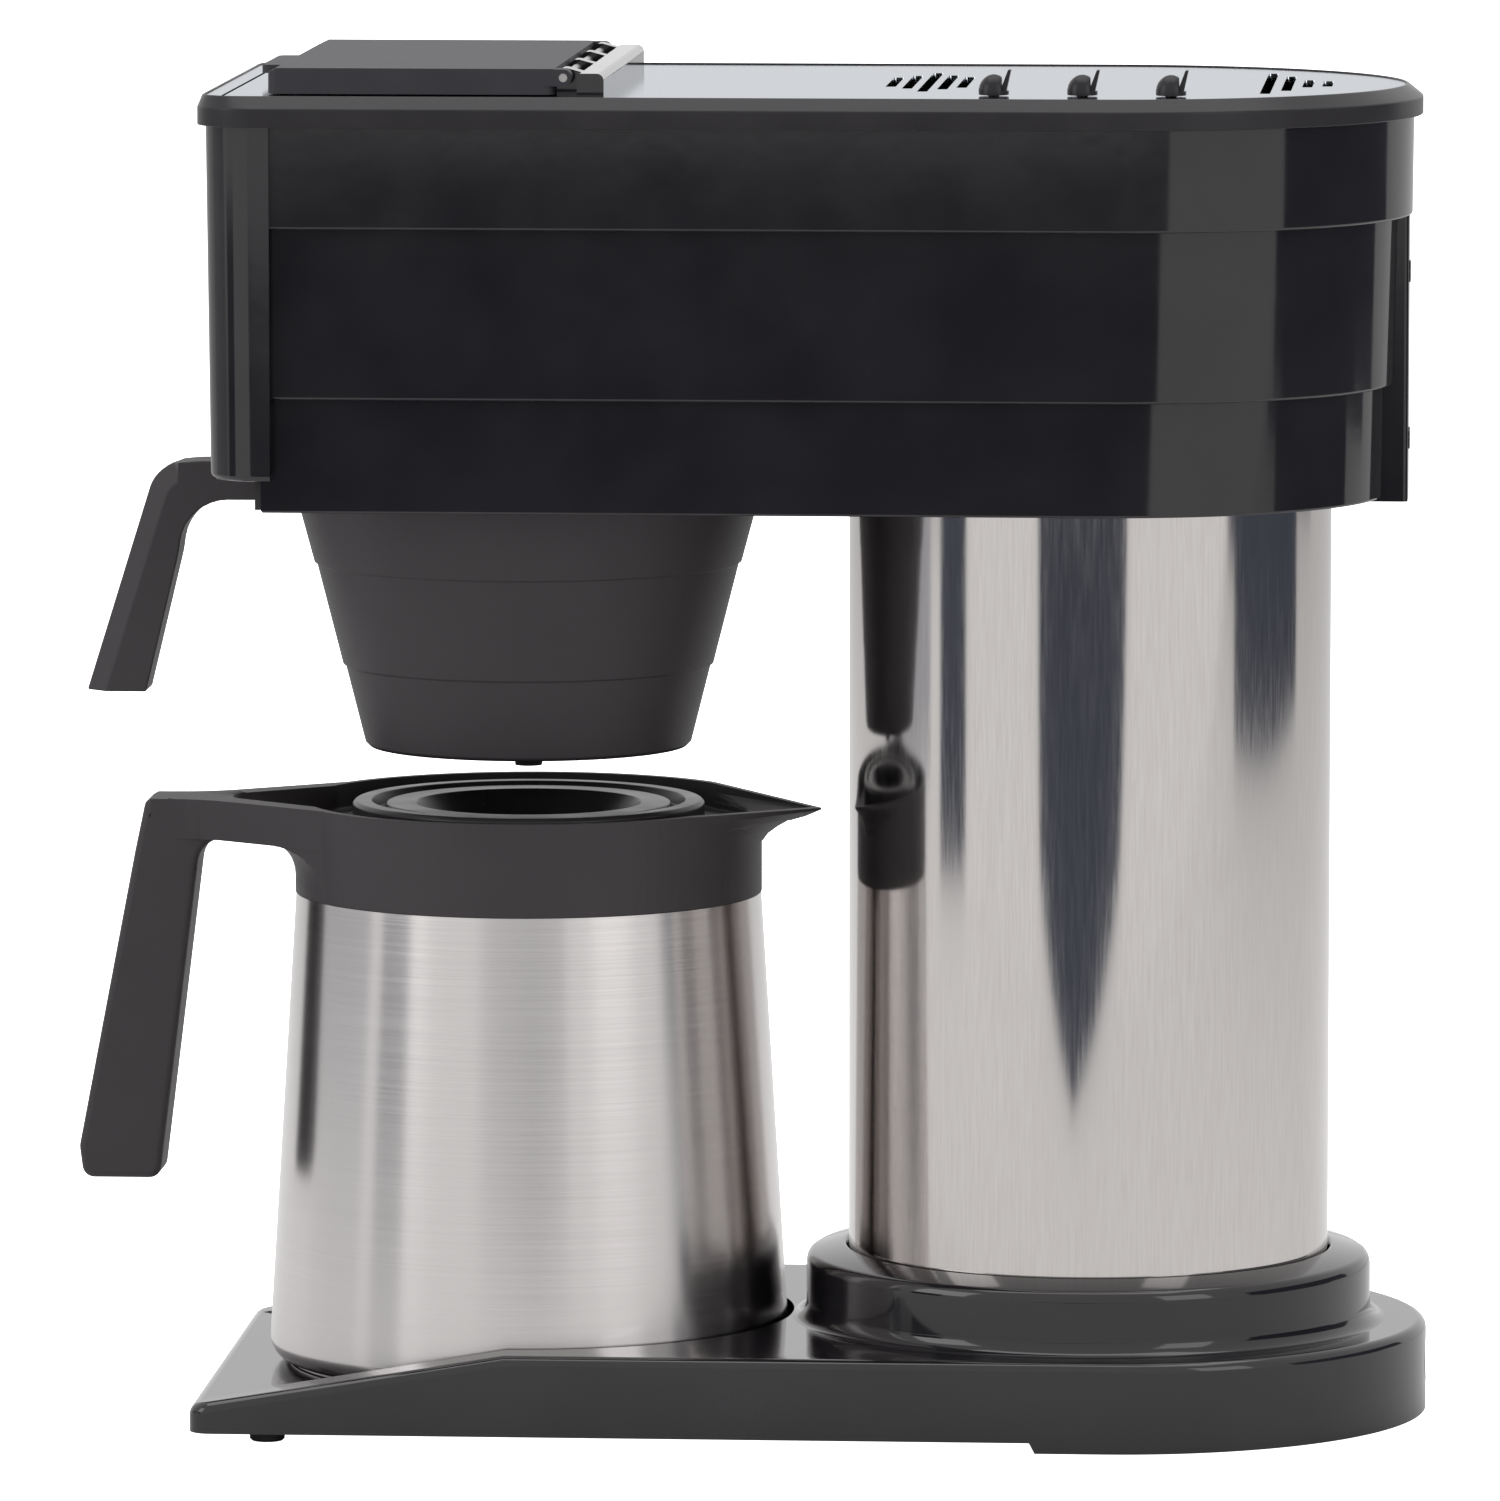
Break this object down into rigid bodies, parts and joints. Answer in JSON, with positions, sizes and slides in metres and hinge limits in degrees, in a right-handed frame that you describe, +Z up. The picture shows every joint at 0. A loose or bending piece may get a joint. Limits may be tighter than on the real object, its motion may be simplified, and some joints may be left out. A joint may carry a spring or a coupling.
{
  "type": "drip coffee maker",
  "caption": "Drip coffee maker with a steel tank column, stepped black head with hinged fill lid, sliding brew funnel and a thermal carafe on a low base.",
  "frame": {"origin": "on the counter, under the middle of the whole outline from the carafe handle to the back of the base", "axes": "+Z up, -X towards the front where the carafe handle points, +Y across the width"},
  "size_m": [0.3909, 0.1802, 0.3912],
  "materials": {
    "gloss_black": "polished moulded plastic",
    "satin_black": "satin moulded plastic",
    "soft_black": "fine-grained moulded plastic",
    "silver_panel": "bright satin sheet",
    "column_steel": "bright brushed stainless",
    "carafe_steel": "brushed stainless",
    "inner_steel": "plain stainless",
    "inner_plastic": "moulded plastic",
    "rubber": "moulded rubber"
  },
  "bodies": {
    "brewer": {"base_housing": "gloss_black", "head_housing": "gloss_black", "front_fascia": "gloss_black", "rear_spacer": "gloss_black", "hood_rim": "gloss_black", "hinge_bar": "gloss_black", "cord_gland": "satin_black", "top_panel": "silver_panel", "column_shell": "column_steel", "water_tank": "inner_steel", "tank_lid": "inner_steel", "heating_element": "inner_steel", "thermostat": "inner_steel", "hinge_pin": "inner_steel", "base_screws": "inner_steel", "spacer_screws": "inner_steel", "base_bottom_plate": "inner_plastic", "head_floor": "inner_plastic", "funnel_carrier": "inner_plastic", "reservoir": "inner_plastic", "valve_cup": "inner_plastic", "rotary_switches": "inner_plastic", "sprayhead": "inner_plastic", "rubber_feet": "rubber", "tank_gasket": "rubber", "fill_tube": "rubber", "spray_tube": "rubber"},
    "lid": {"hood_lid": "satin_black"},
    "drain_valve": {"valve_rod": "inner_plastic", "valve_seal": "rubber"},
    "knob_front": {"knob_front": "satin_black"},
    "knob_middle": {"knob_middle": "satin_black"},
    "knob_rear": {"knob_rear": "satin_black"},
    "funnel": {"brew_funnel": "soft_black"},
    "carafe": {"carafe_shell": "carafe_steel", "carafe_liner": "inner_steel", "carafe_foot": "inner_steel", "carafe_collar": "soft_black"},
    "carafe_lid": {"carafe_lid": "soft_black", "carafe_lid_gasket": "rubber"}
  },
  "joints": [
    {"name": "lid_hinge", "type": "hinge", "parent": "brewer", "child": "lid", "pos_m": [-0.0486, 0, 0.3887], "axis": [0, 1, 0], "range_deg": [0, 105]},
    {"name": "valve_lift", "type": "slide", "parent": "brewer", "child": "drain_valve", "axis": [0, 0, 1], "range_m": [0, 0.005]},
    {"name": "funnel_slide", "type": "slide", "parent": "brewer", "child": "funnel", "axis": [-1, 0, 0], "range_m": [0, 0.16]},
    {"name": "carafe_pull", "type": "slide", "parent": "brewer", "child": "carafe", "axis": [-1, 0, 0], "range_m": [0, 0.2]},
    {"name": "carafe_lid_twist", "type": "hinge", "parent": "carafe", "child": "carafe_lid", "pos_m": [-0.065, 0, 0.17], "axis": [0, 0, 1], "range_deg": [0, 60]},
    {"name": "knob_front_turn", "type": "hinge", "parent": "brewer", "child": "knob_front", "pos_m": [0.0725, -0.063, 0.384], "axis": [0, 0, 1], "range_deg": [-90, 0]},
    {"name": "knob_middle_turn", "type": "hinge", "parent": "brewer", "child": "knob_middle", "pos_m": [0.0975, -0.063, 0.384], "axis": [0, 0, 1], "range_deg": [-90, 0]},
    {"name": "knob_rear_turn", "type": "hinge", "parent": "brewer", "child": "knob_rear", "pos_m": [0.1225, -0.063, 0.384], "axis": [0, 0, 1], "range_deg": [-90, 0]}
  ],
  "couplings": [
    {"joint": "valve_lift", "follows": "lid_hinge", "m_per_rad": 0.0027}
  ]
}
